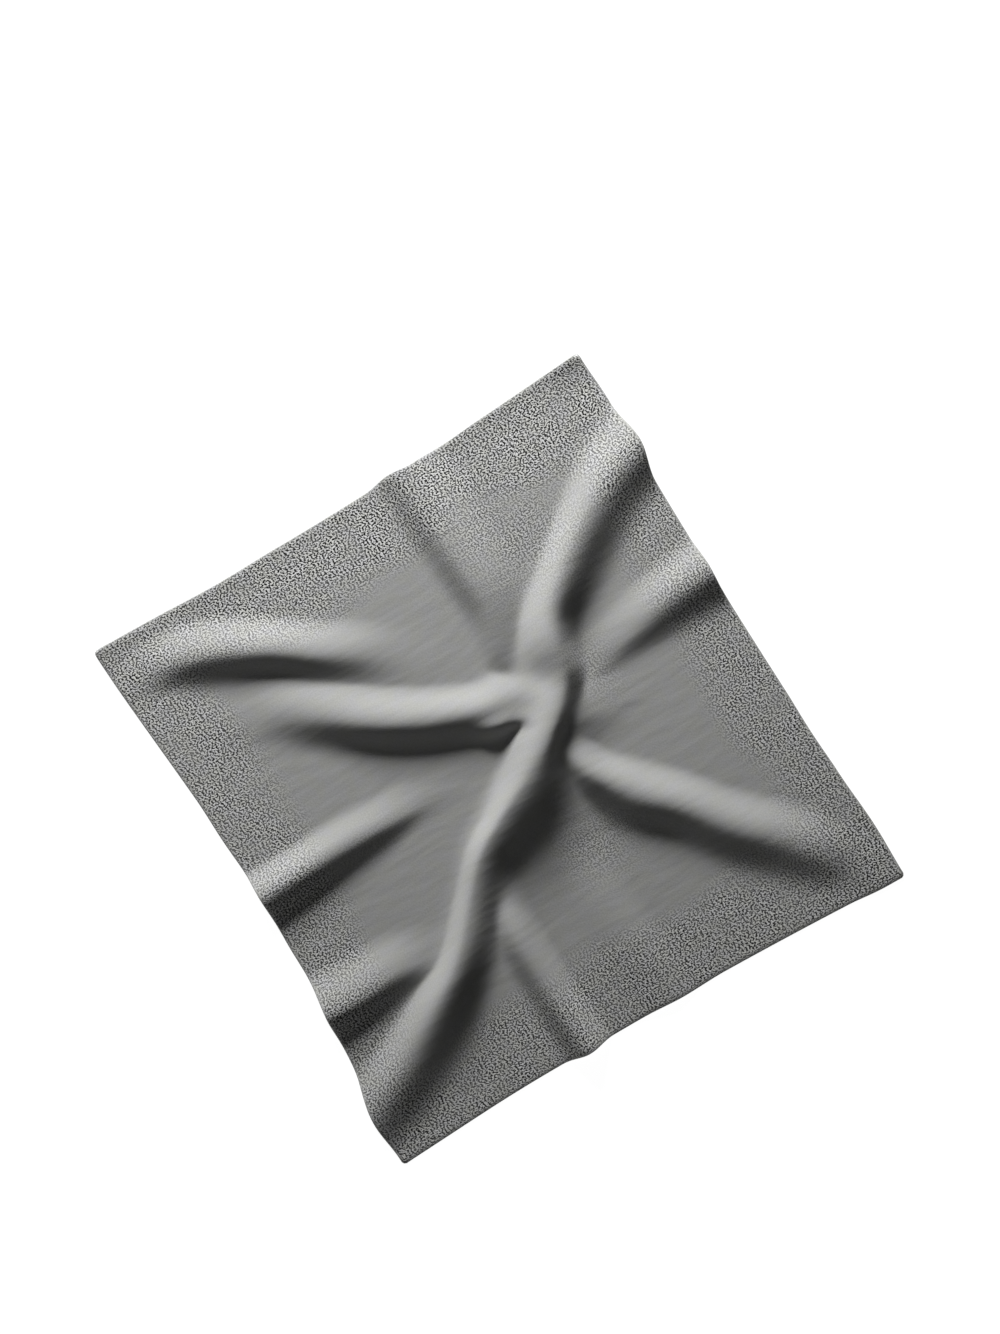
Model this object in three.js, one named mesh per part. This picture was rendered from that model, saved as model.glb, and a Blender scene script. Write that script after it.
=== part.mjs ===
// A square knitted cashmere scarf, spread on a flat surface with its soft folds. Millimetres.
// The cloth is one closed wall: an upper face, an under face and the thin border between them.
// X and Y run along the sides of the square, Z is up, and the cloth rests on Z = 0.
import * as THREE from 'three';

// thickness of the brushed knit, nap included
const WALL = 2.0;
// cells of the net along each side of the square
const CELLS = 53;
// how much closer the net is drawn on a fold than on the flat cloth
const CROWDING = 0.9;
// rise at which that crowding is full
const CROWDED_RISE = 8;
// rounds in which the net settles over the folds
const SETTLING_ROUNDS = 30;

// pieces between two stations of a crest line
const STEPS = 6;
// length along a crest line over which its neighbouring pieces blend
const BLEND = 11;
// distance past the ends of a crest line at which its fold begins to fade
const REACH = 3 * BLEND;
// how firmly the higher of two meeting folds wins
const FIRMNESS = 3;
// how softly a left and a right flank ease into the flat cloth
const LEFT_EASE = 2.5;
const RIGHT_EASE = 4.0;

// corners of the square as it lies: x, y
const CORNERS = {
  lowerLeft: [-302, -312],
  lowerRight: [305.5, -325],
  upperLeft: [-301.5, 317.5],
  upperRight: [295.5, 323],
};

// each border bows outward by "bow" along its axis, so a negative bow is a hollow border, and a
// lower "ease" keeps its hollow deep until close to the corners
const { lowerLeft, lowerRight, upperLeft, upperRight } = CORNERS;
const BORDERS = {
  lower: { from: lowerLeft, to: lowerRight, bow: -8.8, ease: 0.8, axis: [0, -1] },
  upper: { from: upperLeft, to: upperRight, bow: -8.8, ease: 1.1, axis: [0, 1] },
  left: { from: lowerLeft, to: upperLeft, bow: -16.5, ease: 1.5, axis: [-1, 0] },
  right: { from: lowerRight, to: upperRight, bow: -3.6, ease: 1.5, axis: [1, 0] },
};

// a border bulges where a fold reaches it; "at" and "half" are fractions of the border
const BULGES = [
  { border: 'lower', at: 0.24, out: -1.3, half: 0.2 },
  { border: 'lower', at: 0.375, out: 3.4, half: 0.05 },
  { border: 'lower', at: 0.57, out: 1.7, half: 0.08 },
  { border: 'lower', at: 0.95, out: 1.3, half: 0.06 },
  { border: 'upper', at: 0.24, out: -1.5, half: 0.13 },
  { border: 'upper', at: 0.6, out: 3.3, half: 0.05 },
  { border: 'upper', at: 0.72, out: -0.8, half: 0.06 },
  { border: 'left', at: 0.09, out: 6.0, half: 0.09 },
  { border: 'left', at: 0.2, out: -1.5, half: 0.07 },
  { border: 'left', at: 0.34, out: -1.9, half: 0.08 },
  { border: 'left', at: 0.62, out: 1.3, half: 0.08 },
  { border: 'right', at: 0.1, out: 1.9, half: 0.1 },
  { border: 'right', at: 0.28, out: -0.9, half: 0.08 },
  { border: 'right', at: 0.6, out: 1.4, half: 0.05 },
  { border: 'right', at: 0.83, out: 8.2, half: 0.075 },
  { border: 'right', at: 0.915, out: 2.2, half: 0.08 },
];

// folds of the cloth, a row for each station of a crest line: its place, the rise of the crest
// and the widths of the flanks on the line's left and on its right
const COLUMNS = ['x', 'y', 'rise', 'leftWidth', 'rightWidth'];
const FOLDS = {
  spine: [
    [-345, -266, 8.5, 48, 58], [-300, -249.5, 9.5, 48, 60], [-250, -227.5, 13.5, 44, 60],
    [-196, -195.5, 16, 36, 58], [-144.5, -160.5, 18.5, 25, 52], [-99.2, -112.7, 14.5, 20, 56],
    [-63.2, -75.6, 15.5, 19, 58], [-24.5, -53.3, 16.5, 21, 74], [16, -34, 18, 37, 74],
    [55, -8, 18, 53, 38], [85, 16, 18, 48, 34], [107, 43, 20, 48, 34], [116.5, 76, 24, 50, 36],
    [130, 103, 20, 36, 46], [160, 131, 18, 33, 58], [205, 164, 16.5, 36, 62],
    [250.5, 189.5, 14.5, 46, 62], [300, 207, 14, 54, 58], [345, 227, 13, 54, 58],
  ],
  leftUpper: [
    [-292, 270, 0, 34, 36], [-262, 267, 3, 42, 38], [-224, 260.5, 9.5, 43, 41],
    [-184, 245, 12, 44, 43], [-139.5, 220, 13, 41, 38], [-100.5, 192.5, 10.5, 42, 40],
    [-65, 170, 6.5, 42, 45], [-30, 143, 0, 40, 44],
  ],
  leftLower: [
    [-200, 170, 0, 48, 42], [-167, 160, 6, 48, 54], [-134, 138, 10.5, 46, 50],
    [-92.5, 105, 14.5, 44, 43], [-48.5, 79, 15, 41, 45], [-3, 60, 15, 36, 45],
    [20, 52, 15, 36, 48], [44, 46, 14, 45, 54], [70, 32, 13, 47, 60], [90, 8, 8, 56, 46],
    [104, 0, 0, 56, 46],
  ],
  tuck: [
    [-10, 44, 0, 13, 20], [0, 41, 6, 15, 22], [11, 36.5, 13, 22, 24], [25, 31.5, 14.5, 28, 23],
    [39, 28, 13.5, 30, 23], [51, 22, 12, 30, 26], [61, 12, 7, 30, 30], [70, 2, 0, 30, 30],
  ],
  leftBorderHigh: [
    [-345, 4, 15, 37, 46], [-290, 4, 15, 37, 46], [-240, 6, 14.5, 34, 44],
    [-180, 6.5, 11, 35, 38], [-130, 4.5, 7, 35, 30], [-100, 3, 3, 36, 24], [-74, 2, 0, 34, 20],
  ],
  leftBorderLow: [
    [-345, -134, 14, 52, 44], [-290, -136, 14, 52, 44], [-250, -137, 12.5, 50, 41],
    [-200, -136, 8.5, 46, 37], [-165, -142, 0, 40, 30],
  ],
  rightBorder: [
    [140, 28, 0, 34, 26], [165, 35, 3, 38, 28], [205, 44, 7, 43, 38], [250, 53, 10.5, 41, 50],
    [300, 56, 12.5, 47, 54], [345, 58, 12.5, 47, 54],
  ],
  rightLower: [
    [63, -19, 0, 30, 32], [71, -32, 5, 30, 29], [76, -46, 10, 30, 28], [84, -68, 16, 32, 37],
    [106, -102, 16, 42, 54], [141, -139, 16, 40, 48], [173, -181, 14.5, 43, 52],
    [211, -222, 12.5, 46, 53], [239, -258, 8, 50, 50], [268, -292, 0, 44, 42],
  ],
  upperBorder: [
    [72, 345, 12, 62, 45], [72, 310, 12.5, 62, 45], [73, 260, 13, 62, 43],
    [75, 210, 13.5, 60, 41], [77, 165, 13.5, 56, 40], [75, 136, 11.5, 46, 37],
    [70, 112, 9.5, 40, 34], [66, 92, 7.5, 38, 32], [66, 74, 4.5, 36, 30], [70, 58, 0, 36, 30],
  ],
  lowerBorder: [
    [-66, -124, 0, 30, 30], [-72, -150, 9, 30, 34], [-76, -185, 13, 31, 34],
    [-76, -250, 14.5, 32, 34], [-74, -300, 15, 34, 34], [-72, -345, 15, 34, 34],
  ],
  lowerSoft: [
    [24, -120, 0, 32, 60], [25, -190, 3, 36, 60], [27, -240, 4.5, 36, 60], [29, -290, 4, 36, 60],
    [30, -345, 3, 36, 60],
  ],
  upperLift: [
    [-345, 352, 6, 40, 85], [-285, 352, 5, 40, 85], [-235, 352, 2, 40, 85],
    [-200, 352, 3, 40, 85], [-160, 352, 5, 40, 85], [-110, 352, 3, 40, 85],
    [0, 352, 2.5, 40, 85], [90, 354, 3, 40, 85], [150, 356, 4, 40, 85], [200, 358, 5, 40, 85],
    [245, 358, 5, 40, 85], [285, 358, 10, 40, 85], [345, 358, 12, 40, 85],
  ],
  knuckle: [
    [56, 22, 0, 40, 40], [70, 37, 7, 46, 55], [87, 55, 10.5, 52, 60], [104, 77, 11, 52, 55],
    [120, 100, 8, 46, 40], [136, 116, 0, 40, 30],
  ],
};

// a broad swell under the spine, added to the folds; its rows have the same columns
const SPINE_FOOT = [
  [-235, -219, 0, 34, 90], [-196, -196, 2, 34, 100], [-145, -161, 3, 34, 110],
  [-98, -115, 3, 34, 115], [-62, -77, 5, 32, 125], [-24, -54, 7, 34, 135],
  [16, -34, 10, 40, 128], [55, -8, 11, 44, 100], [85, 16, 6.5, 44, 80], [106, 42, 0, 40, 70],
];

function mix(a, b, part) {
  return a + (b - a) * part;
}

function clamp(value, low, high) {
  return Math.max(low, Math.min(high, value));
}

// value of a smooth curve through four even stations, between the middle two
function smoothCurve(before, from, to, after, part) {
  const slope = to - before;
  const bend = 2 * before - 5 * from + 4 * to - after;
  const twist = 3 * from - before - 3 * to + after;
  return from + 0.5 * part * (slope + part * (bend + part * twist));
}

// short straight pieces of a crest line, each with its middle, direction and sizes
function crestPieces(rows) {
  const last = rows.length - 1;
  const points = [];
  for (let index = 0; index < last; index += 1) {
    const stations = [-1, 0, 1, 2].map((step) => rows[clamp(index + step, 0, last)]);
    for (let step = 0; step < STEPS; step += 1) {
      points.push(COLUMNS.map((_, column) => (
        smoothCurve(...stations.map((station) => station[column]), step / STEPS)
      )));
    }
  }
  points.push(rows[last]);
  return points.slice(1).map((point, index) => {
    const start = points[index];
    const middle = COLUMNS.map((name, column) => [name, (start[column] + point[column]) / 2]);
    const piece = Object.fromEntries(middle);
    piece.rise = Math.max(0, piece.rise);
    piece.length = Math.hypot(point[0] - start[0], point[1] - start[1]);
    piece.along = [0, 1].map((k) => (point[k] - start[k]) / piece.length);
    return piece;
  });
}

const CRESTS = Object.values(FOLDS).map(crestPieces);
const FOOT = crestPieces(SPINE_FOOT);

// height of one fold above the flat cloth: its pieces blend with the weight of their nearness
function foldHeight(pieces, x, y) {
  const distances = pieces.map((piece) => (x - piece.x) ** 2 + (y - piece.y) ** 2);
  const nearest = Math.min(...distances);
  let total = 0;
  let weights = 0;
  pieces.forEach((piece, index) => {
    const weight = piece.length * Math.exp((nearest - distances[index]) / (2 * BLEND * BLEND));
    const [offX, offY] = [x - piece.x, y - piece.y];
    const [alongX, alongY] = piece.along;
    const aside = alongX * offY - alongY * offX;
    const past = Math.max(0, Math.abs(alongX * offX + alongY * offY) - REACH);
    const width = aside > 0 ? piece.leftWidth : piece.rightWidth;
    const ease = aside > 0 ? LEFT_EASE : RIGHT_EASE;
    const share = Math.min(1, Math.hypot(aside, past) / width);
    total += weight * piece.rise * (1 - share * share) ** ease;
    weights += weight;
  });
  return total / weights;
}

// height of the cloth where its folds meet and run into each other
function clothHeight(x, y) {
  const powers = CRESTS.map((pieces) => foldHeight(pieces, x, y) ** FIRMNESS);
  return powers.reduce((sum, power) => sum + power) ** (1 / FIRMNESS) + foldHeight(FOOT, x, y);
}

// point of a border at a fraction of its length: straight, bowed, with its bulges
function borderPoint(name, at) {
  const { from, to, bow, ease, axis } = BORDERS[name];
  let out = bow * Math.max(0, Math.sin(Math.PI * at)) ** ease;
  BULGES.filter((bulge) => bulge.border === name).forEach((bulge) => {
    const share = Math.min(1, Math.abs(at - bulge.at) / bulge.half);
    out += bulge.out * Math.cos(Math.PI * share / 2) ** 2;
  });
  return [0, 1].map((k) => mix(from[k], to[k], at) + axis[k] * out);
}

// middle of the wall at fractions across and up the square, spanned between its four borders
function clothPoint(across, up) {
  const lower = borderPoint('lower', across);
  const upper = borderPoint('upper', across);
  const left = borderPoint('left', up);
  const right = borderPoint('right', up);
  const [x, y] = [0, 1].map((k) => {
    const straightLower = mix(lowerLeft[k], lowerRight[k], across);
    const straightUpper = mix(upperLeft[k], upperRight[k], across);
    const straight = mix(straightLower, straightUpper, up);
    return mix(lower[k], upper[k], up) + mix(left[k], right[k], across) - straight;
  });
  return new THREE.Vector3(x, y, WALL / 2 + clothHeight(x, y));
}

// one round of settling: a place moves to the middle of its neighbours, drawn towards the folds
function settle(net) {
  const pulls = net.map((row) => row.map(([across, up]) => {
    const rise = clothPoint(across, up).z - WALL / 2;
    return 1 + CROWDING * Math.min(1, rise / CROWDED_RISE);
  }));
  return net.map((row, rowIndex) => row.map((place, columnIndex) => {
    const neighbours = [];
    if (columnIndex % CELLS > 0) {
      neighbours.push([rowIndex, columnIndex - 1], [rowIndex, columnIndex + 1]);
    }
    if (rowIndex % CELLS > 0) {
      neighbours.push([rowIndex - 1, columnIndex], [rowIndex + 1, columnIndex]);
    }
    // a place on the border has two neighbours along it, and a corner has none and stays
    const total = neighbours.reduce((sum, [r, c]) => sum + pulls[r][c], 0);
    return place.map((value, k) => (
      total ? neighbours.reduce((sum, [r, c]) => sum + net[r][c][k] * pulls[r][c], 0) / total : value
    ));
  }));
}

// the net as rows of places: fractions across and up the square
function settledNet() {
  const lines = Array.from({ length: CELLS + 1 }, (_, index) => index);
  let net = lines.map((row) => lines.map((column) => [column / CELLS, row / CELLS]));
  for (let round = 0; round < SETTLING_ROUNDS; round += 1) {
    net = settle(net);
  }
  return net;
}

// direction square to the cloth at a place of the net
function squareTo(middle, row, column) {
  const at = (r, c) => middle[clamp(r, 0, CELLS)][clamp(c, 0, CELLS)];
  const acrossStep = at(row, column + 1).clone().sub(at(row, column - 1));
  const upStep = at(row + 1, column).clone().sub(at(row - 1, column));
  return acrossStep.cross(upStep).normalize();
}

// triangles of the wall: the upper face, the under face and the border strip that joins them
function wallTriangles(middle) {
  const line = CELLS + 1;
  const upper = (row, column) => row * line + column;
  const under = (row, column) => line * line + upper(row, column);
  const triangles = [];
  for (let row = 0; row < CELLS; row += 1) {
    for (let column = 0; column < CELLS; column += 1) {
      const corners = [[row, column], [row, column + 1], [row + 1, column + 1], [row + 1, column]];
      const heights = corners.map(([r, c]) => middle[r][c].z);
      // the cell is split along the level diagonal, so that a slanting crest stays smooth
      const turn = Math.abs(heights[0] - heights[2]) <= Math.abs(heights[1] - heights[3]) ? 0 : 1;
      const [a, b, c, d] = corners.map((_, index) => corners[(index + turn) % corners.length]);
      triangles.push(upper(...a), upper(...b), upper(...c), upper(...a), upper(...c), upper(...d));
      triangles.push(under(...c), under(...b), under(...a), under(...d), under(...c), under(...a));
    }
  }
  const border = [];
  for (let index = 0; index < CELLS; index += 1) {
    border.push([[0, index], [0, index + 1]]);
    border.push([[index, CELLS], [index + 1, CELLS]]);
    border.push([[CELLS, index + 1], [CELLS, index]]);
    border.push([[index + 1, 0], [index, 0]]);
  }
  border.forEach(([from, to]) => {
    triangles.push(under(...from), under(...to), upper(...to));
    triangles.push(under(...from), upper(...to), upper(...from));
  });
  return triangles;
}

// the wall: both faces lie half its thickness off the middle of the cloth
function scarfGeometry() {
  const middle = settledNet().map((row) => row.map(([across, up]) => clothPoint(across, up)));
  const face = (side) => middle.flatMap((row, rowIndex) => row.flatMap((point, columnIndex) => (
    point.clone().addScaledVector(squareTo(middle, rowIndex, columnIndex), side * WALL / 2).toArray()
  )));
  const geometry = new THREE.BufferGeometry();
  const positions = [...face(1), ...face(-1)];
  geometry.setAttribute('position', new THREE.Float32BufferAttribute(positions, 3));
  geometry.setIndex(wallTriangles(middle));
  geometry.computeBoundingBox();
  const centre = geometry.boundingBox.getCenter(new THREE.Vector3());
  geometry.translate(-centre.x, -centre.y, -geometry.boundingBox.min.z);
  geometry.computeVertexNormals();
  return geometry;
}

function cashmereMaterial() {
  return new THREE.MeshStandardMaterial({
    name: 'cashmere',
    color: 0x82827f,
    roughness: 0.95,
    metalness: 0,
  });
}

function buildScarf() {
  const scarf = new THREE.Mesh(scarfGeometry(), cashmereMaterial());
  scarf.name = 'scarf';
  const object = new THREE.Group();
  object.name = 'cashmere_scarf';
  object.add(scarf);
  return object;
}

export default buildScarf();
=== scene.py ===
# %% [markdown]
# A square scarf of soft grey cashmere knit lies spread out on a white table, seen from straight
# above. The real scarf is one piece of brushed knit, and its look comes from three things: the
# soft folds that the hand left in it, the stitches that show towards its sides, and the raised
# nap that hides them in the middle.
# A cloth simulation could drop a sheet on the table, but it would fold where it likes. Here
# each fold is drawn as a crest line in a short table, the same one that shaped the
# solid model, and a fine net of the cloth is laid over them.

# %% The imported frame
import math

import bpy
import numpy as np
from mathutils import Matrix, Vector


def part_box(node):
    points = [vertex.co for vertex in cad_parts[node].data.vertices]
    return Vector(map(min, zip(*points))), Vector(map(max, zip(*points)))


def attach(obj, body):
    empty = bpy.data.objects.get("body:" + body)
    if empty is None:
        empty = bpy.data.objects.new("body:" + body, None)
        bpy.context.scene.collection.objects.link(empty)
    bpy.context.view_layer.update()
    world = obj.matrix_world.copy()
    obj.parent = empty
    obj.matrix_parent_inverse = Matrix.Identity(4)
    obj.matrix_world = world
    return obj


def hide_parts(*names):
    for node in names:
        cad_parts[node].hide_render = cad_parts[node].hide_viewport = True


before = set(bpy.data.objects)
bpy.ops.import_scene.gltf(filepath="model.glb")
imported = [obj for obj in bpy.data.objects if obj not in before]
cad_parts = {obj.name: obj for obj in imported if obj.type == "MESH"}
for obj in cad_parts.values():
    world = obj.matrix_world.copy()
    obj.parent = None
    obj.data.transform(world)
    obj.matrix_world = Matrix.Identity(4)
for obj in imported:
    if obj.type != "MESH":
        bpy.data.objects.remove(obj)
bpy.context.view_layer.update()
node_low, node_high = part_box("scarf")
MM = 0.001
print("solid scarf in mm:", [round(side / MM, 1) for side in node_high - node_low])

# %% [markdown]
# The camera hangs straight above the table with a long lens, as for a catalogue picture, so
# the square stays a square. It is rolled about its own axis, because the scarf lies turned in
# the picture. One could turn the scarf instead, but its sides are easier to model along X and Y.

# %% Camera
ROLL = math.radians(31.2)
LENS_MM = 85.0
SENSOR_MM = 36.0
# height of the picture, measured on the table
FIELD = 1401 * MM
# point of the table that the lens looks at, measured in the frame of the tables below
AIM = (55.3 * MM, 83.1 * MM)

lens = bpy.data.cameras.new("camera")
lens.lens = LENS_MM
lens.sensor_width = SENSOR_MM
camera = bpy.data.objects.new("camera", lens)
bpy.context.collection.objects.link(camera)
bpy.context.scene.camera = camera
camera_height = FIELD * LENS_MM / SENSOR_MM
camera.rotation_euler = (0, 0, -ROLL)
lens.clip_end = 100
print("camera height in m:", round(camera_height, 3))

# %% [markdown]
# The outline comes first. The square has four corners, and each of its sides bows a little
# inwards between them, because the folds take up cloth. Where a fold runs out over a side, the
# side bulges outwards. Four such curves are enough to span the whole net between them.

# %% Corners and sides of the square, in mm
CORNERS = {
    "lower_left": (-302, -312),
    "lower_right": (305.5, -325),
    "upper_left": (-301.5, 317.5),
    "upper_right": (295.5, 323),
}
# a side bows outwards by "bow" in its direction, so a negative bow is a hollow side, and a
# lower "ease" keeps its hollow deep until close to the corners
SIDES = {
    "lower": {
        "start": "lower_left", "end": "lower_right", "bow": -8.8, "ease": 0.8, "outwards": (0, -1),
    },
    "upper": {
        "start": "upper_left", "end": "upper_right", "bow": -8.8, "ease": 1.1, "outwards": (0, 1),
    },
    "left": {
        "start": "lower_left", "end": "upper_left", "bow": -16.5, "ease": 1.5, "outwards": (-1, 0),
    },
    "right": {
        "start": "lower_right", "end": "upper_right", "bow": -3.6, "ease": 1.5, "outwards": (1, 0),
    },
}
# a bulge sits at a fraction of its side and reaches half its width both ways
BULGES = [
    {"side": "lower", "at": 0.24, "out": -1.3, "half": 0.2},
    {"side": "lower", "at": 0.375, "out": 3.4, "half": 0.05},
    {"side": "lower", "at": 0.57, "out": 1.7, "half": 0.08},
    {"side": "lower", "at": 0.95, "out": 1.3, "half": 0.06},
    {"side": "upper", "at": 0.24, "out": -1.5, "half": 0.13},
    {"side": "upper", "at": 0.6, "out": 3.3, "half": 0.05},
    {"side": "upper", "at": 0.72, "out": -0.8, "half": 0.06},
    {"side": "left", "at": 0.09, "out": 6.0, "half": 0.09},
    {"side": "left", "at": 0.2, "out": -1.5, "half": 0.07},
    {"side": "left", "at": 0.34, "out": -1.9, "half": 0.08},
    {"side": "left", "at": 0.62, "out": 1.3, "half": 0.08},
    {"side": "right", "at": 0.1, "out": 1.9, "half": 0.1},
    {"side": "right", "at": 0.28, "out": -0.9, "half": 0.08},
    {"side": "right", "at": 0.6, "out": 1.4, "half": 0.05},
    {"side": "right", "at": 0.83, "out": 8.2, "half": 0.075},
    {"side": "right", "at": 0.915, "out": 2.2, "half": 0.08},
]


def side_points(name, at):
    """Points of a side at fractions of its length: straight, bowed, with its bulges."""
    side = SIDES[name]
    start, end = (np.array(CORNERS[side[key]]) for key in ("start", "end"))
    out = side["bow"] * np.maximum(0, np.sin(np.pi * at)) ** side["ease"]
    for bulge in BULGES:
        if bulge["side"] == name:
            share = np.minimum(1, np.abs(at - bulge["at"]) / bulge["half"])
            out = out + bulge["out"] * np.cos(np.pi * share / 2) ** 2
    return start + (end - start) * at[:, None] + np.array(side["outwards"]) * out[:, None]


for name in SIDES:
    run = np.diff(side_points(name, np.linspace(0, 1, 200)), axis=0)
    print(name, "side in mm:", round(float(np.linalg.norm(run, axis=1).sum()), 1))

# %% [markdown]
# A fold of soft knit is a rounded ridge: its crest line wanders over the table, rises and
# fades, and its two flanks are of different width, since cloth that is pushed from one side
# leans over to the other. Each row of a table is one station of such a crest line. Sculpting
# would be quicker, but a row can be read and changed, and the solid model shares it.

# %% Folds: place of the crest, its rise, and the widths of its left and right flanks, in mm
FOLDS = {
    "spine": [
        (-345, -266, 8.5, 48, 58), (-300, -249.5, 9.5, 48, 60), (-250, -227.5, 13.5, 44, 60),
        (-196, -195.5, 16, 36, 58), (-144.5, -160.5, 18.5, 25, 52), (-99.2, -112.7, 14.5, 20, 56),
        (-63.2, -75.6, 15.5, 19, 58), (-24.5, -53.3, 16.5, 21, 74), (16, -34, 18, 37, 74),
        (55, -8, 18, 53, 38), (85, 16, 18, 48, 34), (107, 43, 20, 48, 34), (116.5, 76, 24, 50, 36),
        (130, 103, 20, 36, 46), (160, 131, 18, 33, 58), (205, 164, 16.5, 36, 62),
        (250.5, 189.5, 14.5, 46, 62), (300, 207, 14, 54, 58), (345, 227, 13, 54, 58),
    ],
    "left_upper": [
        (-292, 270, 0, 34, 36), (-262, 267, 3, 42, 38), (-224, 260.5, 9.5, 43, 41),
        (-184, 245, 12, 44, 43), (-139.5, 220, 13, 41, 38), (-100.5, 192.5, 10.5, 42, 40),
        (-65, 170, 6.5, 42, 45), (-30, 143, 0, 40, 44),
    ],
    "left_lower": [
        (-200, 170, 0, 48, 42), (-167, 160, 6, 48, 54), (-134, 138, 10.5, 46, 50),
        (-92.5, 105, 14.5, 44, 43), (-48.5, 79, 15, 41, 45), (-3, 60, 15, 36, 45),
        (20, 52, 15, 36, 48), (44, 46, 14, 45, 54), (70, 32, 13, 47, 60), (90, 8, 8, 56, 46),
        (104, 0, 0, 56, 46),
    ],
    "tuck": [
        (-10, 44, 0, 13, 20), (0, 41, 6, 15, 22), (11, 36.5, 13, 22, 24), (25, 31.5, 14.5, 28, 23),
        (39, 28, 13.5, 30, 23), (51, 22, 12, 30, 26), (61, 12, 7, 30, 30), (70, 2, 0, 30, 30),
    ],
    "left_border_high": [
        (-345, 4, 15, 37, 46), (-290, 4, 15, 37, 46), (-240, 6, 14.5, 34, 44),
        (-180, 6.5, 11, 35, 38), (-130, 4.5, 7, 35, 30), (-100, 3, 3, 36, 24), (-74, 2, 0, 34, 20),
    ],
    "left_border_low": [
        (-345, -134, 14, 52, 44), (-290, -136, 14, 52, 44), (-250, -137, 12.5, 50, 41),
        (-200, -136, 8.5, 46, 37), (-165, -142, 0, 40, 30),
    ],
    "right_border": [
        (140, 28, 0, 34, 26), (165, 35, 3, 38, 28), (205, 44, 7, 43, 38), (250, 53, 10.5, 41, 50),
        (300, 56, 12.5, 47, 54), (345, 58, 12.5, 47, 54),
    ],
    "right_lower": [
        (63, -19, 0, 30, 32), (71, -32, 5, 30, 29), (76, -46, 10, 30, 28), (84, -68, 16, 32, 37),
        (106, -102, 16, 42, 54), (141, -139, 16, 40, 48), (173, -181, 14.5, 43, 52),
        (211, -222, 12.5, 46, 53), (239, -258, 8, 50, 50), (268, -292, 0, 44, 42),
    ],
    "upper_border": [
        (72, 345, 12, 62, 45), (72, 310, 12.5, 62, 45), (73, 260, 13, 62, 43),
        (75, 210, 13.5, 60, 41), (77, 165, 13.5, 56, 40), (75, 136, 11.5, 46, 37),
        (70, 112, 9.5, 40, 34), (66, 92, 7.5, 38, 32), (66, 74, 4.5, 36, 30), (70, 58, 0, 36, 30),
    ],
    "lower_border": [
        (-66, -124, 0, 30, 30), (-72, -150, 9, 30, 34), (-76, -185, 13, 31, 34),
        (-76, -250, 14.5, 32, 34), (-74, -300, 15, 34, 34), (-72, -345, 15, 34, 34),
    ],
    "lower_soft": [
        (24, -120, 0, 32, 60), (25, -190, 3, 36, 60), (27, -240, 4.5, 36, 60),
        (29, -290, 4, 36, 60), (30, -345, 3, 36, 60),
    ],
    "upper_lift": [
        (-345, 352, 6, 40, 85), (-285, 352, 5, 40, 85), (-235, 352, 2, 40, 85),
        (-200, 352, 3, 40, 85), (-160, 352, 5, 40, 85), (-110, 352, 3, 40, 85),
        (0, 352, 2.5, 40, 85), (90, 354, 3, 40, 85), (150, 356, 4, 40, 85), (200, 358, 5, 40, 85),
        (245, 358, 5, 40, 85), (285, 358, 10, 40, 85), (345, 358, 12, 40, 85),
    ],
    "knuckle": [
        (56, 22, 0, 40, 40), (70, 37, 7, 46, 55), (87, 55, 10.5, 52, 60), (104, 77, 11, 52, 55),
        (120, 100, 8, 46, 40), (136, 116, 0, 40, 30),
    ],
}
# a broad swell under the spine, added to the folds: its table has the same columns
SPINE_FOOT = [
    (-235, -219, 0, 34, 90), (-196, -196, 2, 34, 100), (-145, -161, 3, 34, 110),
    (-98, -115, 3, 34, 115), (-62, -77, 5, 32, 125), (-24, -54, 7, 34, 135),
    (16, -34, 10, 40, 128), (55, -8, 11, 44, 100), (85, 16, 6.5, 44, 80), (106, 42, 0, 40, 70),
]
# pieces between two stations, and how softly neighbouring pieces blend
STEPS = 6
BLEND = 11
# how softly a left and a right flank ease into the flat cloth
LEFT_EASE = 2.5
RIGHT_EASE = 4.0
# how firmly the higher of two meeting folds wins
FIRMNESS = 3


def crest_line(rows):
    """A smooth curve through the stations of a fold."""
    rows = np.array(rows, dtype=float)
    stations = np.vstack([rows[:1], rows, rows[-1:]])
    points = []
    for before, start, end, after in zip(stations, stations[1:], stations[2:], stations[3:]):
        slope = end - before
        bend = 2 * before - 5 * start + 4 * end - after
        twist = 3 * start - before - 3 * end + after
        for part in np.arange(STEPS) / STEPS:
            points.append(start + 0.5 * part * (slope + part * (bend + part * twist)))
    return np.array(points + [rows[-1]])


def fold_height(rows, x, y, blend):
    """Height of one fold above the flat cloth: the pieces of its crest line blend."""
    line = crest_line(rows)
    middle = (line[1:] + line[:-1]) / 2
    along = line[1:, :2] - line[:-1, :2]
    length = np.linalg.norm(along, axis=1)
    along = along / length[:, None]
    off_x = x[..., None] - middle[:, 0]
    off_y = y[..., None] - middle[:, 1]
    distance = off_x**2 + off_y**2
    nearest = distance.min(axis=-1, keepdims=True)
    weight = length * np.exp((nearest - distance) / (2 * blend**2))
    aside = along[:, 0] * off_y - along[:, 1] * off_x
    # well past its pieces a fold rounds off as it does at a flank
    past = np.maximum(0, np.abs(along[:, 0] * off_x + along[:, 1] * off_y) - 3 * blend)
    width = np.where(aside > 0, middle[:, 3], middle[:, 4])
    ease = np.where(aside > 0, LEFT_EASE, RIGHT_EASE)
    share = np.minimum(1, np.hypot(aside, past) / width)
    rounded = middle[:, 2] * (1 - share**2) ** ease
    return (weight * rounded).sum(axis=-1) / weight.sum(axis=-1)


print("folds:", len(FOLDS), "stations:", sum(len(rows) for rows in FOLDS.values()))

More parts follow.
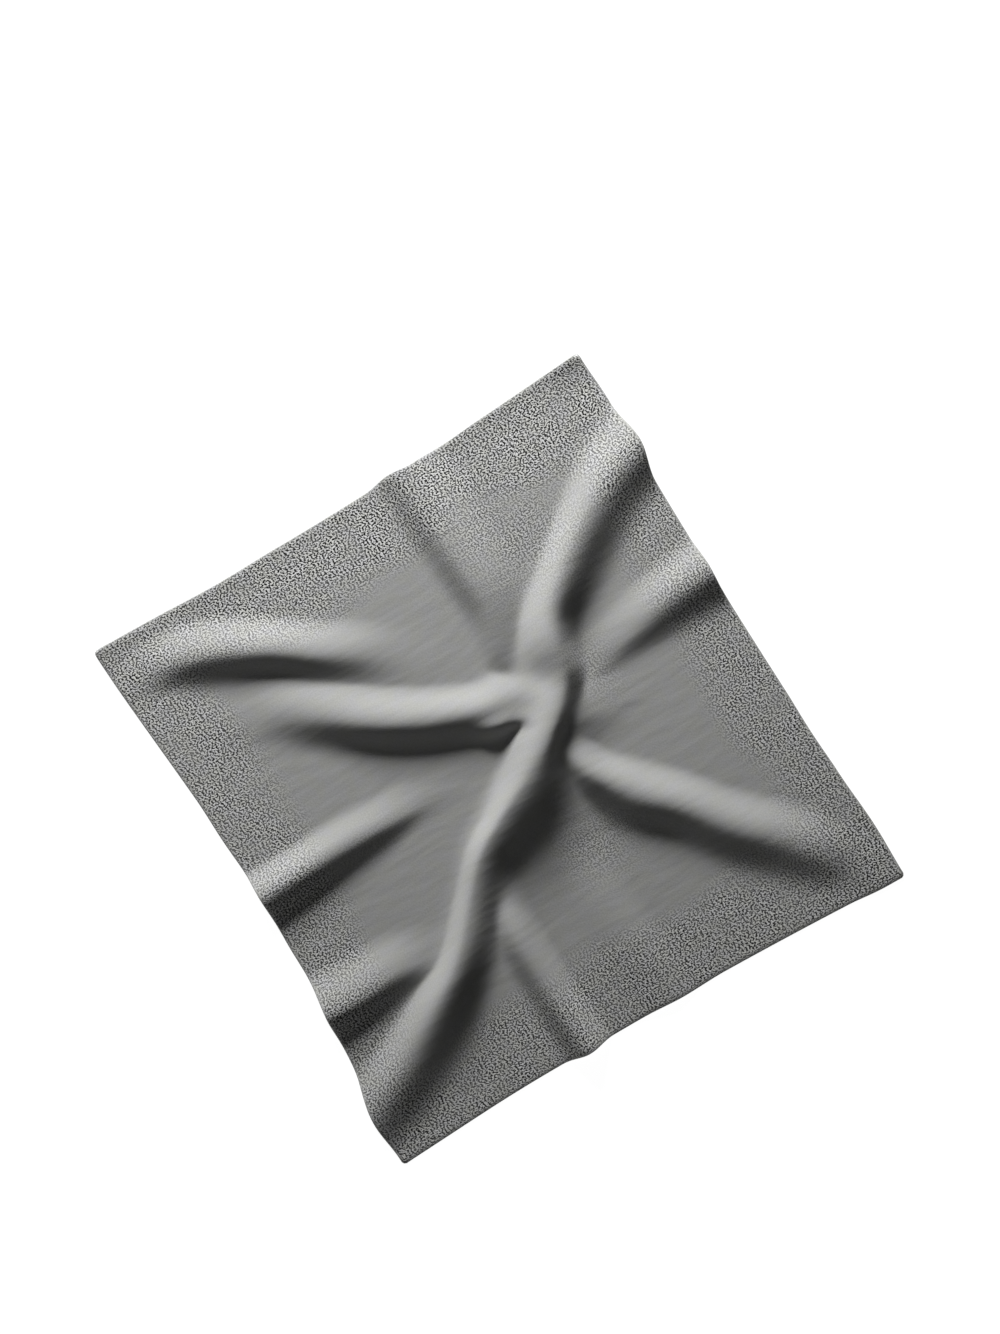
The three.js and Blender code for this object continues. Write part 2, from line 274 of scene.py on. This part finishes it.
# %% [markdown]
# The net of the cloth is square: so many cells across and so many up. Each of its points is
# spanned between the four sides, which is known as a Coons patch, and lifted by the folds.
# A subdivided plane with a displacement would do as well, but here every point also knows how
# far along the cloth it is, which the stitches need later.

# %% The net of the cloth
# cells along a side, and the thickness of the wall, in mm
CELLS = 216
WALL = 2.0
# the outermost cells are narrow, so that the rounding of the border stays on the border
BORDER_SHARE = 0.0012
at = np.concatenate([[0], np.linspace(BORDER_SHARE, 1 - BORDER_SHARE, CELLS - 1), [1]])


def spanned_net(at):
    """Places of the net on the table, in mm, as rows from the lower to the upper side."""
    lower = side_points("lower", at)
    upper = side_points("upper", at)
    left = side_points("left", at)
    right = side_points("right", at)
    across = at[None, :, None]
    up = at[:, None, None]
    corner = {name: np.array(place) for name, place in CORNERS.items()}
    straight_lower = corner["lower_left"] * (1 - across) + corner["lower_right"] * across
    straight_upper = corner["upper_left"] * (1 - across) + corner["upper_right"] * across
    straight = straight_lower * (1 - up) + straight_upper * up
    between_rows = lower[None] * (1 - up) + upper[None] * up
    between_columns = left[:, None] * (1 - across) + right[:, None] * across
    return between_rows + between_columns - straight


def cloth_height(x, y):
    """Height of the cloth where its folds meet and run into each other."""
    powers = sum(fold_height(rows, x, y, BLEND) ** FIRMNESS for rows in FOLDS.values())
    return powers ** (1 / FIRMNESS) + fold_height(SPINE_FOOT, x, y, BLEND)


net = spanned_net(at)
rise = cloth_height(net[..., 0], net[..., 1])
middle = np.dstack([net, rise + WALL / 2])
print("net points:", rise.size, "highest fold in mm:", round(rise.max(), 1))

# %% [markdown]
# A knit has a thickness that shows along its border, so the net becomes a wall: one face half
# the thickness above it, one below, and a rounded edge between them. A Solidify modifier gives
# a sharp rim. Writing the rim as three rings keeps it round and the whole wall closed.

# %% The wall of the cloth
# how far the middle of the rim stands out past both faces, and the radius of a corner, in mm
RIM_ROUND = 0.4
CORNER_ROUND = 4.7
# net points that a corner arc can reach, and how far off the direction of a side is taken
CORNER_POINTS = 4
DIRECTION_POINTS = 10
# the knit thins out at its border: how far its upper face drops there, and over what width, in mm
BORDER_DROP = 0.33
BORDER_WIDTH = 4.5
# length of a side, near enough to tell how far a point is from the border, in mm
SIDE_LENGTH = 620


def square_to(points):
    """Directions square to the cloth, of length one."""
    across = np.gradient(points, axis=1)
    up = np.gradient(points, axis=0)
    normal = np.cross(across, up)
    return normal / np.linalg.norm(normal, axis=-1, keepdims=True)


def round_corners(points):
    """Pulls the few points outside the corner arcs in onto them."""
    rounded = points.copy()
    for row, column in ((0, 0), (0, -1), (-1, 0), (-1, -1)):
        next_column = DIRECTION_POINTS if column == 0 else -1 - DIRECTION_POINTS
        next_row = DIRECTION_POINTS if row == 0 else -1 - DIRECTION_POINTS
        corner = points[row, column, :2]
        along = points[row, next_column, :2] - corner
        upwards = points[next_row, column, :2] - corner
        along = along / np.linalg.norm(along)
        upwards = upwards / np.linalg.norm(upwards)
        centre = corner + CORNER_ROUND * (along + upwards)
        rows = slice(0, CORNER_POINTS) if row == 0 else slice(-CORNER_POINTS, None)
        columns = slice(0, CORNER_POINTS) if column == 0 else slice(-CORNER_POINTS, None)
        off = rounded[rows, columns, :2] - centre
        beyond = np.linalg.norm(off, axis=-1)
        outside = (off @ along <= 0) & (off @ upwards <= 0) & (beyond > CORNER_ROUND)
        shrink = np.where(outside, CORNER_ROUND / np.maximum(beyond, 1e-6), 1)
        rounded[rows, columns, :2] = centre + off * shrink[..., None]
    return rounded


def border_ring(grid):
    """The border of a grid as one ring, anticlockwise from its lower left corner."""
    return np.concatenate([grid[0, :-1], grid[:-1, -1], grid[-1, :0:-1], grid[:0:-1, 0]])


middle = round_corners(middle)
normal = square_to(middle)
from_side = np.minimum(at, 1 - at) * SIDE_LENGTH
from_border = np.minimum(from_side[:, None], from_side[None, :])
thinned = np.maximum(0, 1 - from_border / BORDER_WIDTH) ** 2
drop = BORDER_DROP * thinned
upper_face = middle + normal * (WALL / 2 - drop)[..., None]
under_face = middle - normal * WALL / 2
# points in one line of the net
line = CELLS + 1
index = np.arange(line * line).reshape(line, line)
ring = border_ring(index)
edge = middle.reshape(-1, 3)[ring]
forward = np.roll(edge, -1, axis=0) - np.roll(edge, 1, axis=0)
outwards = np.cross(forward, normal.reshape(-1, 3)[ring])
outwards /= np.linalg.norm(outwards, axis=1, keepdims=True)
for face in (upper_face, under_face):
    face.reshape(-1, 3)[ring] -= outwards * RIM_ROUND
rim = edge + outwards * RIM_ROUND
points = np.vstack([upper_face.reshape(-1, 3), under_face.reshape(-1, 3), rim])

cell_corners = [index[:-1, :-1], index[:-1, 1:], index[1:, 1:], index[1:, :-1]]
quads = np.stack(cell_corners, axis=-1).reshape(-1, 4)
under_ring = ring + line * line
rim_ring = np.arange(len(ring)) + 2 * line * line
strips = [
    np.stack([low, np.roll(low, -1), np.roll(high, -1), high], axis=-1)
    for low, high in ((under_ring, rim_ring), (rim_ring, ring))
]
faces = np.vstack([quads, quads[:, ::-1] + line * line, *strips])

low = points.min(axis=0)
high = points.max(axis=0)
centre = (low + high) / 2
points -= (centre[0], centre[1], low[2])
print("wall in mm:", np.round(high - low, 1), "faces:", len(faces))

# %% [markdown]
# The wall becomes a mesh with one face for each cell of the net, and strips for its rim. A
# modifier could build it and would stay editable. A plain mesh keeps the order of the net
# instead, so that the measures further down can be written from the same grids.

# %% The mesh of the scarf
mesh = bpy.data.meshes.new("scarf_cloth")
mesh.from_pydata((points * MM).tolist(), [], faces.tolist())
mesh.shade_smooth()
mesh.validate()
scarf = bpy.data.objects.new("scarf_cloth", mesh)
bpy.context.collection.objects.link(scarf)

camera.location = (AIM[0] - centre[0] * MM, AIM[1] - centre[1] * MM, camera_height + WALL * MM)
print("mesh points:", len(mesh.vertices), "camera at:", [round(c, 3) for c in camera.location])

# %% [markdown]
# The stitches follow the cloth and not the table: on a slope they keep their size. So the UV
# map isn't the usual view from above. It measures how far each point is along its row and
# along its column, over all the slopes between, in metres of cloth.

# %% A UV map that measures along the cloth
CLOTH_WIDTH = 604 * MM
CLOTH_LENGTH = 643 * MM


def share_along(points, axis):
    """Fraction of the way along each line of the net, measured over its slopes."""
    steps = np.linalg.norm(np.diff(points, axis=axis), axis=-1)
    run = np.cumsum(steps, axis=axis)
    run = np.insert(run, 0, 0, axis=axis)
    total = run.max(axis=axis, keepdims=True)
    return run / total


for axis, name in ((1, "width"), (0, "length")):
    lengths = np.linalg.norm(np.diff(middle, axis=axis), axis=-1).sum(axis=axis)
    print("cloth", name, "in mm:", round(float(lengths.mean()), 1))
cloth_u = share_along(middle, 1) * CLOTH_WIDTH
cloth_v = share_along(middle, 0) * CLOTH_LENGTH
places = np.stack([cloth_u, cloth_v], axis=-1).reshape(-1, 2)
places = np.vstack([places, places, places[ring]])
corners = np.zeros(len(mesh.loops), dtype=np.int32)
mesh.loops.foreach_get("vertex_index", corners)
uv_map = mesh.uv_layers.new(name="cloth")
uv_map.data.foreach_set("uv", places[corners].astype(np.float32).ravel())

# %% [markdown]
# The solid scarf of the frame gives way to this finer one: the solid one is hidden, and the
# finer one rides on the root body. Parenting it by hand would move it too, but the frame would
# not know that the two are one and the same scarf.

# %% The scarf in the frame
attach(scarf, "root")
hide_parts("scarf")
print("the visible scarf takes the place of the solid one")

# %% [markdown]
# Shader nodes read better as sums. This small class wraps an output socket, so that
# "1 - stitch * 0.4" builds its Math nodes by itself, and any other node comes from one method.


# %% Sums of shader nodes
class Thread:
    """An output socket of a material, used as a number or a colour in a sum."""

    def __init__(self, tree, socket=None):
        """The tree of the material, and one socket of it once there is one."""
        self.tree = tree
        self.socket = socket

    def node(self, kind, settings=None, values=None, output=0):
        """A node of a kind: its settings first, then the values or links of its sockets."""
        made = self.tree.nodes.new(kind)
        for name, setting in (settings or {}).items():
            setattr(made, name, setting)
        for name, value in (values or {}).items():
            if isinstance(value, Thread):
                self.tree.links.new(value.socket, made.inputs[name])
            else:
                made.inputs[name].default_value = value
        return None if output is None else Thread(self.tree, made.outputs[output])

    def sum(self, operation, first, second):
        """A Math node of two numbers or sockets."""
        return self.node("ShaderNodeMath", {"operation": operation}, {0: first, 1: second})

    def __add__(self, other):
        return self.sum("ADD", self, other)

    __radd__ = __add__

    def __sub__(self, other):
        return self.sum("SUBTRACT", self, other)

    def __rsub__(self, other):
        return self.sum("SUBTRACT", other, self)

    def __mul__(self, other):
        return self.sum("MULTIPLY", self, other)

    __rmul__ = __mul__

    def fade(self, start, end):
        """Smooth step from 0 at the start to 1 at the end."""
        return self.node(
            "ShaderNodeMapRange",
            {"interpolation_type": "SMOOTHSTEP"},
            {"Value": self, "From Min": start, "From Max": end},
        )


cashmere = bpy.data.materials.new("grey_cashmere")
cashmere.use_nodes = True
cashmere.node_tree.nodes.clear()
knit = Thread(cashmere.node_tree)
print("material:", cashmere.name)

# %% [markdown]
# The nap is brushed up and steamed flat in the middle of the scarf, where it hides the
# stitches. Towards the sides it is thinner, and they show, with painted shade in their pits.
# This painted shade is made weaker on the flanks that face the window, where light from the
# front would fill the pits: painted light. Along the border the knit is finished off firmly. A
# painted mask could hold all this, but here each point of the mesh gets a number, which follows
# the folds by itself.

# %% Where the nap is thin, and painted light on lit flanks and the shaded border
# width of the band along each side, at the side's start and end, in mm, and how bare it is
BANDS = {
    "left": (62, 86, 0.86),
    "right": (68, 62, 0.86),
    "lower": (78, 82, 0.9),
    "upper": (82, 84, 1.0),
}
BAND_SOFTNESS = 46
# worn places further in: x, y, half width and half length, in mm, and how bare
WORN = [
    (45, -130, 36, 32, 0.5),
    (135, 35, 24, 36, 0.35),
    (148, 188, 70, 50, 0.62),
    (112, 224, 46, 40, 0.7),
    (-170, -5, 60, 18, 0.15),
]
# ridges that keep their nap out towards a corner: the same columns, and how much of it stays
KEPT = [
    (-220, -238, 44, 32, 0.55),
    (205, -236, 38, 36, 0.6),
    (-196, 252, 40, 28, 0.4),
]
# how far the inner edge of the thin nap wanders, in mm
WANDER = 6
# share of the stitches and their painted pit shade that goes on a flank that faces the window, as
# painted light, and the slope it takes
LIT_FLANK_LOSS = 0.48
FACING_SLOPE = 0.5
# share of the stitches that goes at the very border
FIRM_BORDER = 0.9
# direction of the window, anticlockwise from X
WINDOW_AZIMUTH = math.radians(76)


def soft_step(value):
    """Smooth step from 0 to 1."""
    value = np.clip(value, 0, 1)
    return value * value * (3 - 2 * value)


side_distance = {
    "left": (cloth_u, cloth_v / CLOTH_LENGTH),
    "right": (CLOTH_WIDTH - cloth_u, cloth_v / CLOTH_LENGTH),
    "lower": (cloth_v, cloth_u / CLOTH_WIDTH),
    "upper": (CLOTH_LENGTH - cloth_v, cloth_u / CLOTH_WIDTH),
}
place_x = net[..., 0]
place_y = net[..., 1]
# two slow waves, each bent by another, so that no straight edge is left
wander = np.sin(place_x / 27 + 2 * np.sin(place_y / 38))
wander += np.sin(place_y / 23 + 2 * np.sin(place_x / 41))
napped = np.ones_like(cloth_u)
for name, (width_at_start, width_at_end, bareness) in BANDS.items():
    distance, along_side = side_distance[name]
    band = width_at_start + (width_at_end - width_at_start) * along_side
    inwards = band + WANDER * wander - distance / MM
    napped *= 1 - bareness * soft_step(inwards / BAND_SOFTNESS + 0.5)
thin_nap_and_flank_light = 1 - napped
for x, y, half_width, half_length, bareness in WORN:
    off = ((place_x - x) / half_width) ** 2 + ((place_y - y) / half_length) ** 2
    thin_nap_and_flank_light = np.maximum(thin_nap_and_flank_light, bareness * np.exp(-off))
for x, y, half_width, half_length, kept in KEPT:
    off = ((place_x - x) / half_width) ** 2 + ((place_y - y) / half_length) ** 2
    thin_nap_and_flank_light *= 1 - kept * np.exp(-off)
# painted light: the stitches and their painted pit shade fade on flanks that face the window
facing = normal[..., 0] * math.cos(WINDOW_AZIMUTH) + normal[..., 1] * math.sin(WINDOW_AZIMUTH)
thin_nap_and_flank_light *= 1 - LIT_FLANK_LOSS * soft_step(facing / FACING_SLOPE)
thin_nap_and_flank_light *= 1 - FIRM_BORDER * thinned
# painted light along the three sides that turn away from the window: their border is made lighter,
# where loose fibres would catch light
shaded_border = np.minimum(at[:, None] * SIDE_LENGTH, from_side[None, :])
painted_border_grid = np.maximum(0, 1 - shaded_border / BORDER_WIDTH) ** 2
for name, grid in (("thin_nap_and_flank_light", thin_nap_and_flank_light), ("painted_border_light", painted_border_grid)):
    layer = mesh.attributes.new(name, "FLOAT", "POINT")
    values = grid.ravel()
    values = np.concatenate([values, values, values[ring]])
    layer.data.foreach_set("value", values.astype(np.float32))
print("share of the cloth with a thin nap:", round(float(thin_nap_and_flank_light.mean()), 2))

# %% [markdown]
# Nap is never brushed quite evenly: it lies thinner in some patches a few centimetres wide.
# More rows in the table of worn places could list them, but nobody would miss a single one. A
# soft noise varies the nap instead, and its helper serves the fibres and creases further down.

# %% Uneven nap
WAVE = 30 * MM


def soft_noise(place, size, detail, roughness):
    """Noise on the cloth, with lumps of about this size."""
    return knit.node(
        "ShaderNodeTexNoise", {"noise_dimensions": "2D"},
        {"Vector": place, "Scale": 1 / size, "Detail": detail, "Roughness": roughness},
    )


cloth = knit.node("ShaderNodeUVMap", {"uv_map": "cloth"})
wave = soft_noise(cloth, WAVE, detail=2.0, roughness=0.55)
painted = knit.node("ShaderNodeAttribute", {"attribute_name": "thin_nap_and_flank_light"}, output="Fac")
# the noise lies about 0.5, so this factor lies about 1
bare_and_flank_light = painted * (wave + 0.5)
painted_border_light = knit.node("ShaderNodeAttribute", {"attribute_name": "painted_border_light"}, output="Fac")
print("patches of the nap in mm:", round(WAVE / MM))

# %% [markdown]
# Seen from above, the yarn makes light loops round small dark pits, and the loops stand in
# rows along Y, the wales. A drawn V repeated as a tile looks too neat for brushed wool. Gabor
# noise is a better start: it is made of small wave packets, all with the same distance between
# crests. One with packets in every direction gives the loops, one with straight packets the
# wales. Fibres are added before the step that parts yarn from pit, so they break up the loops.

# %% Stitches
LOOP = 3.6 * MM
WALE = 4.25 * MM
WALE_SHARE = 0.85
# waves in one packet, which tell how far the order of the stitches reaches
LOOP_WAVES = 1.1
WALE_WAVES = 2.3
# how much closer the loops and the breaks in the wales follow each other along Y
LOOP_SQUEEZE = 1.15
WALE_SQUEEZE = 2.8
# height at which the yarn lies between a pit and a loop, and how crisp that step is
PIT_LEVEL = 0.48
CRISPNESS = 0.18
# how wide a lump of fibres is, and how far they cross the pits and break up the loops
FIBRE = 1.7 * MM
FUZZ = 1.3

course_wise = knit.node(
    "ShaderNodeVectorMath", {"operation": "MULTIPLY"}, {0: cloth, 1: (1, LOOP_SQUEEZE, 0)},
)
loops = knit.node(
    "ShaderNodeTexGabor", {"gabor_type": "2D"},
    {
        "Vector": course_wise,
        "Scale": 1 / (LOOP_WAVES * LOOP),
        "Frequency": LOOP_WAVES,
        "Anisotropy": 0.0,
    },
    output="Value",
)
broken_rows = knit.node(
    "ShaderNodeVectorMath", {"operation": "MULTIPLY"}, {0: cloth, 1: (1, WALE_SQUEEZE, 0)},
)
wales = knit.node(
    "ShaderNodeTexGabor", {"gabor_type": "2D"},
    {
        "Vector": broken_rows,
        "Scale": 1 / (WALE_WAVES * WALE),
        "Frequency": WALE_WAVES,
        "Anisotropy": 0.9,
        "Orientation": 0.0,
    },
    output="Value",
)
fibre = soft_noise(cloth, FIBRE, detail=1.0, roughness=0.5)
yarn = loops + (wales - 0.5) * WALE_SHARE + (fibre - 0.5) * FUZZ
yarn_height = yarn.fade(PIT_LEVEL - CRISPNESS, PIT_LEVEL + CRISPNESS)
print("wales across the scarf:", round(CLOTH_WIDTH / WALE))

# %% [markdown]
# Steam and folding leave faint creases in the smooth nap, drawn out along X. They are a few
# tenths of a millimetre deep, which a far finer mesh could hold. A noise stretched along X
# does it with one node, because only their shading can be seen.

# %% Soft creases
CREASE = 11 * MM
# how far a crease is drawn out along X
CREASE_STRETCH = 4
drawn_out = knit.node(
    "ShaderNodeVectorMath", {"operation": "MULTIPLY"}, {0: cloth, 1: (1 / CREASE_STRETCH, 1, 0)},
)
crease = soft_noise(drawn_out, CREASE, detail=1.0, roughness=0.5)
print("creases in mm, along X and Y:", round(CREASE * CREASE_STRETCH / MM), round(CREASE / MM))

# %% [markdown]
# Grey cashmere is spun from fibres of several shades, which the trade calls heather. From a
# distance only a slight change of warmth is left, so two nearly equal greys are mixed. The pits
# between the loops are dark because little light gets in. Bump alone shows too little of
# that at this size, so the colour carries the shade as well.

# %% Colour of the yarn
COOL_GREY = (0.234, 0.235, 0.237, 1)
WARM_GREY = (0.234, 0.235, 0.223, 1)
# size of the patches of one shade
HEATHER = 17 * MM
heather = soft_noise(cloth, HEATHER, detail=3.0, roughness=0.5)
# how strongly painted shade darkens the yarn in the pits between the loops, and lightens it on the
# loops
PIT_SHADE = 1.72
# how much painted light lightens the border of the sides turned away from the window
PAINTED_BORDER_LIGHT = 0.2
# height of the yarn that keeps its colour, and how much the fibres shade the nap and the knit
YARN_MIDDLE = 0.54
NAP_FIBRES = 0.26
KNIT_FIBRES = 0.5
stitch_shade = 1 + (yarn_height - YARN_MIDDLE) * bare_and_flank_light * PIT_SHADE
fibre_shade = 1 + (fibre - 0.5) * (NAP_FIBRES + bare_and_flank_light * KNIT_FIBRES)
# painted shade in the pits, painted light on the shaded border, and random fibre tone
shade = stitch_shade * fibre_shade * (1 + painted_border_light * PAINTED_BORDER_LIGHT)
wool = knit.node(
    "ShaderNodeMix", {"data_type": "RGBA"},
    {"Factor": heather.fade(0.3, 0.7), "A": COOL_GREY, "B": WARM_GREY},
    output="Result",
)
print("cool and warm grey:", COOL_GREY[:3], WARM_GREY[:3])

# %% [markdown]
# Wool hardly shines, but its nap catches light at a flat angle, and that is what Sheen is made
# for. Real hair strands would be truer and far too many. The relief of the stitches, fibres
# and creases goes into one Bump node.

# %% The finished cashmere
tinted = knit.node("ShaderNodeVectorMath", {"operation": "SCALE"}, {0: wool, "Scale": shade})
# relief of the stitches, and the shares of it that fibres and creases have
STITCH_DEPTH = 0.25 * MM
FIBRE_RELIEF = 0.25
CREASE_RELIEF = 1.15
relief = yarn_height * bare_and_flank_light + fibre * FIBRE_RELIEF + crease * CREASE_RELIEF
bump = knit.node(
    "ShaderNodeBump", {}, {"Strength": 1.0, "Distance": STITCH_DEPTH, "Height": relief},
    output="Normal",
)
surface = knit.node(
    "ShaderNodeBsdfPrincipled", {},
    {
        "Base Color": tinted,
        "Normal": bump,
        "Roughness": 0.95,
        "Specular IOR Level": 0.15,
        "Sheen Weight": 0.25,
        "Sheen Roughness": 0.5,
        "Sheen Tint": (0.75, 0.75, 0.74, 1),
    },
)
knit.node("ShaderNodeOutputMaterial", {}, {"Surface": surface}, output=None)
mesh.materials.append(cashmere)
print("shader nodes:", len(cashmere.node_tree.nodes))

# %% [markdown]
# The table in the photo is washed out to pure white, without a trace of a shadow. A white
# floor under these lamps would turn grey beside the scarf. One that glows a little stays white
# and leaves the lamps free for the folds.

# %% Floor
FLOOR_HALF = 20.0
FLOOR_GREY = 0.15
FLOOR_GLOW = 0.98
floor_mesh = bpy.data.meshes.new("floor")
square = ((-1, -1), (1, -1), (1, 1), (-1, 1))
floor_corners = [(x * FLOOR_HALF, y * FLOOR_HALF, 0) for x, y in square]
floor_mesh.from_pydata(floor_corners, [], [(0, 1, 2, 3)])
floor = bpy.data.objects.new("floor", floor_mesh)
bpy.context.collection.objects.link(floor)
table = bpy.data.materials.new("white_table")
table.use_nodes = True
table_shader = table.node_tree.nodes["Principled BSDF"]
table_shader.inputs["Base Color"].default_value = (FLOOR_GREY, FLOOR_GREY, FLOOR_GREY, 1)
table_shader.inputs["Roughness"].default_value = 1.0
table_shader.inputs["Specular IOR Level"].default_value = 0.0
table_shader.inputs["Emission Color"].default_value = (1, 1, 1, 1)
table_shader.inputs["Emission Strength"].default_value = FLOOR_GLOW
table.cycles.emission_sampling = "NONE"
floor_mesh.materials.append(table)
print("floor side in m:", 2 * FLOOR_HALF)

# %% [markdown]
# A low window beyond the upper side of the scarf makes the folds stand out: each has a lit
# flank, a dark one and a shadow. A weak panel at the left fills the shadows, and the room adds a
# little from everywhere. A high lamp would be easier to place, but it would flatten the folds.

# %% Light
# places in m, from the middle of the scarf
WINDOW_DISTANCE = 2.1
WINDOW_HEIGHT = 0.70
PANEL_PLACE = (-2.4, -0.65, 0.68)
ROOM_LIGHT = 0.032


def lamp(name, place, width, height, watts):
    """A rectangular lamp that looks at the scarf and can't be seen itself."""
    lamp_data = bpy.data.lights.new(name, "AREA")
    lamp_data.shape = "RECTANGLE"
    lamp_data.size = width
    lamp_data.size_y = height
    lamp_data.energy = watts
    made = bpy.data.objects.new(name, lamp_data)
    bpy.context.collection.objects.link(made)
    made.location = place
    made.rotation_euler = (-made.location).to_track_quat("-Z", "Y").to_euler()
    made.visible_camera = False


window_x = WINDOW_DISTANCE * math.cos(WINDOW_AZIMUTH)
window_y = WINDOW_DISTANCE * math.sin(WINDOW_AZIMUTH)
lamp("window", (window_x, window_y, WINDOW_HEIGHT), width=0.72, height=0.53, watts=137)
lamp("reflector", PANEL_PLACE, width=1.2, height=0.8, watts=8)

world = bpy.data.worlds.new("room")
world.use_nodes = True
bpy.context.scene.world = world
world.node_tree.nodes["Background"].inputs["Color"].default_value = (1, 1, 1, 1)
world.node_tree.nodes["Background"].inputs["Strength"].default_value = ROOM_LIGHT
bpy.context.scene.view_settings.view_transform = "Standard"
window_angle = math.degrees(math.atan2(WINDOW_HEIGHT, WINDOW_DISTANCE))
print("window in degrees over the table:", round(window_angle, 1))
